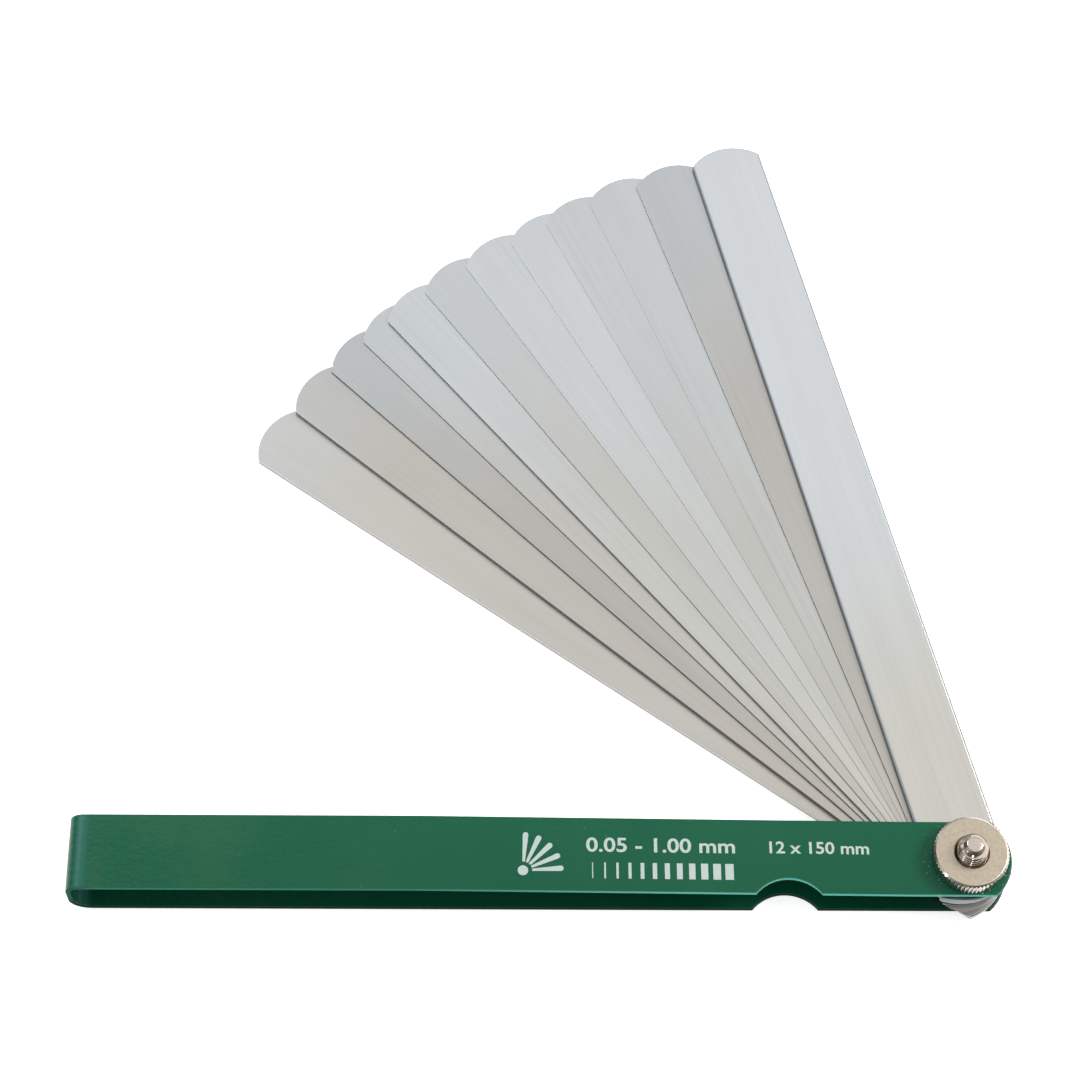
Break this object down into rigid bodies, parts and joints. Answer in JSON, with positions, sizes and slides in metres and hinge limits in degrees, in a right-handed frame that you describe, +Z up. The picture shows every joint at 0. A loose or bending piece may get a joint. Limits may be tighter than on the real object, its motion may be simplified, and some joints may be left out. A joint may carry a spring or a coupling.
{
  "type": "feeler gauge",
  "caption": "Fanned steel thickness-gauge leaves on a knurled-nut pivot in a folded, green painted steel case with a thumb notch.",
  "frame": {"origin": "on the pivot axis, at the underside of the case", "axes": "+Z up along the pivot stud towards the nut; the case runs towards -X from the pivot; the leaves fan out towards +Y"},
  "size_m": [0.1529, 0.1486, 0.0141],
  "materials": {
    "green_paint": "semi-gloss, slight orange peel",
    "nickel_plate": "satin bright",
    "dark_steel": "blackened, satin",
    "leaf_steel": "fine ground",
    "white_print": "flat ink"
  },
  "bodies": {
    "case": {"case": "green_paint", "pivot_stud": "nickel_plate", "lower_friction_washer": "dark_steel", "upper_friction_washer": "dark_steel"},
    "knurled_nut": {"knurled_nut": "nickel_plate"},
    "leaf_090": {"leaf_090": "leaf_steel"},
    "leaf_080": {"leaf_080": "leaf_steel"},
    "leaf_040": {"leaf_040": "leaf_steel"},
    "leaf_025": {"leaf_025": "leaf_steel"},
    "leaf_050": {"leaf_050": "leaf_steel"},
    "leaf_020": {"leaf_020": "leaf_steel"},
    "leaf_010": {"leaf_010": "leaf_steel"},
    "leaf_008": {"leaf_008": "leaf_steel"},
    "leaf_007": {"leaf_007": "leaf_steel"},
    "leaf_005": {"leaf_005": "leaf_steel"},
    "leaf_030": {"leaf_030": "leaf_steel"},
    "leaf_100": {"leaf_100": "leaf_steel"}
  },
  "joints": [
    {"name": "nut_turn", "type": "hinge", "parent": "case", "child": "knurled_nut", "pos_m": [0, 0, 0], "axis": [0, 0, 1], "range_deg": [0, 720]},
    {"name": "leaf_090_swing", "type": "hinge", "parent": "case", "child": "leaf_090", "pos_m": [0, 0, 0], "axis": [0, 0, 1], "range_deg": [-144.9, 35.1]},
    {"name": "leaf_080_swing", "type": "hinge", "parent": "case", "child": "leaf_080", "pos_m": [0, 0, 0], "axis": [0, 0, 1], "range_deg": [-140.3, 39.7]},
    {"name": "leaf_040_swing", "type": "hinge", "parent": "case", "child": "leaf_040", "pos_m": [0, 0, 0], "axis": [0, 0, 1], "range_deg": [-136.2, 43.8]},
    {"name": "leaf_025_swing", "type": "hinge", "parent": "case", "child": "leaf_025", "pos_m": [0, 0, 0], "axis": [0, 0, 1], "range_deg": [-132.9, 47.1]},
    {"name": "leaf_050_swing", "type": "hinge", "parent": "case", "child": "leaf_050", "pos_m": [0, 0, 0], "axis": [0, 0, 1], "range_deg": [-130.5, 49.5]},
    {"name": "leaf_020_swing", "type": "hinge", "parent": "case", "child": "leaf_020", "pos_m": [0, 0, 0], "axis": [0, 0, 1], "range_deg": [-126.9, 53.1]},
    {"name": "leaf_010_swing", "type": "hinge", "parent": "case", "child": "leaf_010", "pos_m": [0, 0, 0], "axis": [0, 0, 1], "range_deg": [-123.2, 56.8]},
    {"name": "leaf_008_swing", "type": "hinge", "parent": "case", "child": "leaf_008", "pos_m": [0, 0, 0], "axis": [0, 0, 1], "range_deg": [-119.3, 60.7]},
    {"name": "leaf_007_swing", "type": "hinge", "parent": "case", "child": "leaf_007", "pos_m": [0, 0, 0], "axis": [0, 0, 1], "range_deg": [-116.2, 63.8]},
    {"name": "leaf_005_swing", "type": "hinge", "parent": "case", "child": "leaf_005", "pos_m": [0, 0, 0], "axis": [0, 0, 1], "range_deg": [-112.5, 67.5]},
    {"name": "leaf_030_swing", "type": "hinge", "parent": "case", "child": "leaf_030", "pos_m": [0, 0, 0], "axis": [0, 0, 1], "range_deg": [-108.7, 71.3]},
    {"name": "leaf_100_swing", "type": "hinge", "parent": "case", "child": "leaf_100", "pos_m": [0, 0, 0], "axis": [0, 0, 1], "range_deg": [-104.2, 75.8]}
  ]
}
